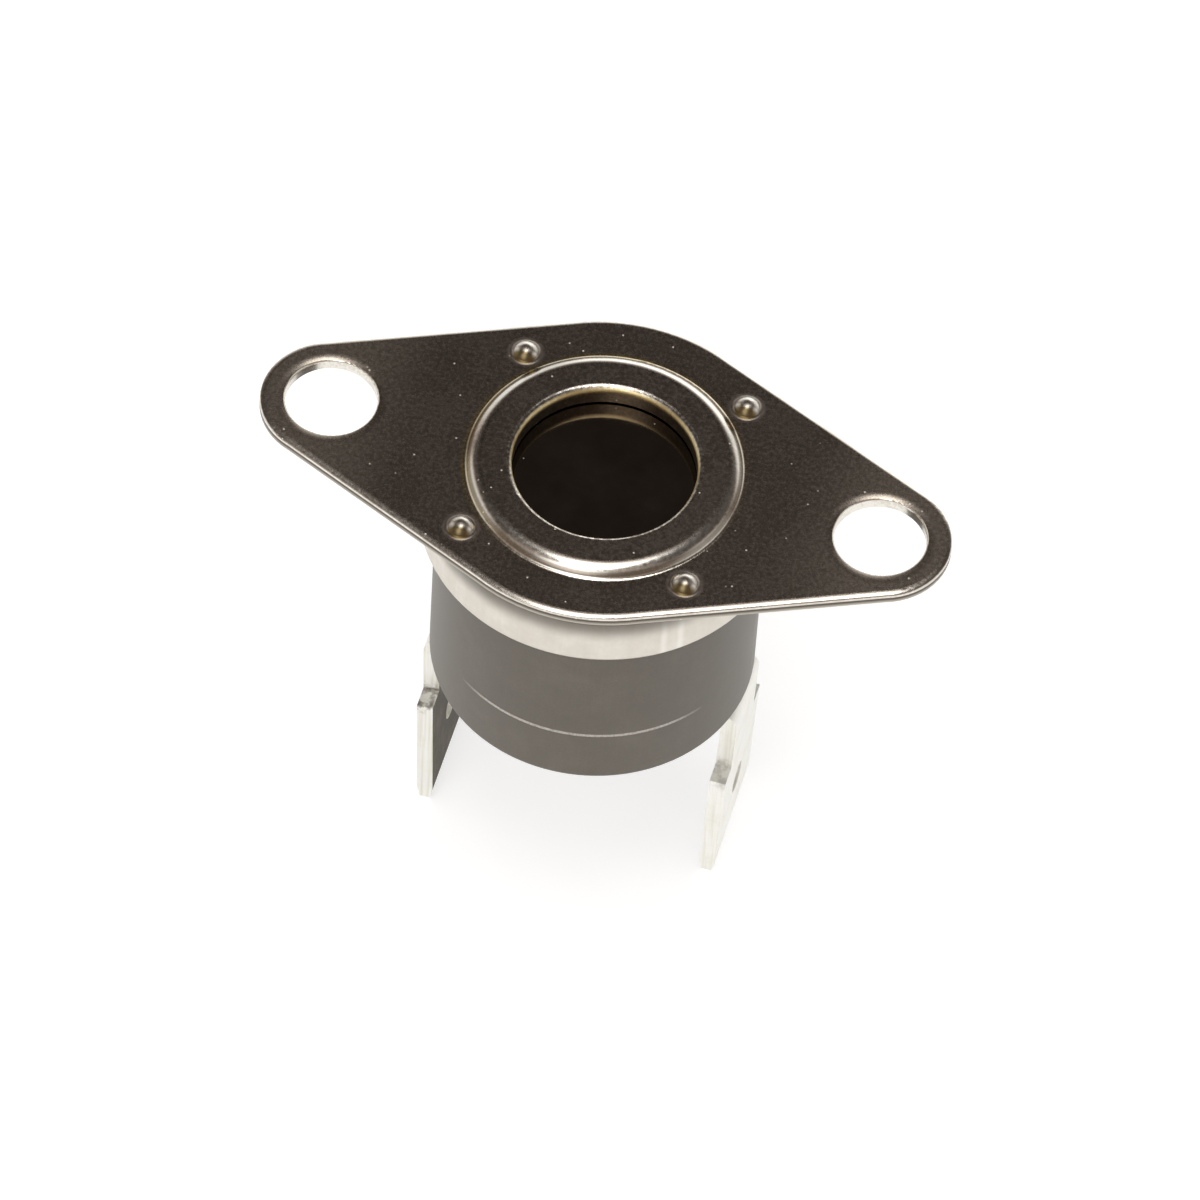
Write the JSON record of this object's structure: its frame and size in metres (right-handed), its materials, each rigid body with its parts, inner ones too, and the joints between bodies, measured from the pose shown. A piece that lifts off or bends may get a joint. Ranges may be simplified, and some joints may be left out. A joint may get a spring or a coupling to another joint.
{
  "type": "snap-disc thermostat",
  "caption": "Small round snap-disc temperature switch on a diamond-shaped two-hole flange, with push-on tab terminals that point down.",
  "frame": {"origin": "centre of the flange's upper, sensing face, midway between the two screw holes", "axes": "+Z out of the sensing face, away from the body; +X towards the right screw hole; terminals point to -Z"},
  "size_m": [0.0338, 0.0178, 0.0266],
  "materials": {
    "plated_steel": "dull nickel plate, satin",
    "aluminium_sheet": "drawn, bare",
    "bimetal": "rolled, smooth and dark",
    "brown_phenolic": "moulded",
    "pin_ceramic": "unglazed, ground",
    "grey_phenolic": "moulded, satin",
    "spring_brass": "rolled strip",
    "contact_silver": "bare silver alloy",
    "plated_brass": "nickel plated, satin",
    "tinned_brass": "bright tin plate"
  },
  "bodies": {
    "housing": {"mounting_flange": "plated_steel", "crimp_cup": "aluminium_sheet", "snap_disc": "bimetal", "pin_guide": "brown_phenolic", "switch_case": "grey_phenolic", "contact_bracket": "spring_brass", "fixed_contact": "contact_silver", "arm_clamp": "spring_brass", "rivet_left": "plated_brass", "rivet_right": "plated_brass", "terminal_left": "tinned_brass", "terminal_right": "tinned_brass"},
    "pin": {"transfer_pin": "pin_ceramic"},
    "arm": {"contact_arm": "spring_brass", "moving_contact": "contact_silver"}
  },
  "joints": [
    {"name": "pin_slide", "type": "slide", "parent": "housing", "child": "pin", "axis": [0, 0, -1], "range_m": [0, 0.0004], "deforming": ["snap_disc"]},
    {"name": "arm_flex", "type": "hinge", "parent": "housing", "child": "arm", "pos_m": [0.00355, 0, -0.00745], "axis": [0, -1, 0], "range_deg": [0, 6.5], "stiffness_Nm_per_rad": 0.03, "springref_deg": -4.58, "deforming": ["contact_arm"]}
  ],
  "couplings": [
    {"joint": "arm_flex", "follows": "pin_slide", "rad_per_m": 281.69}
  ]
}
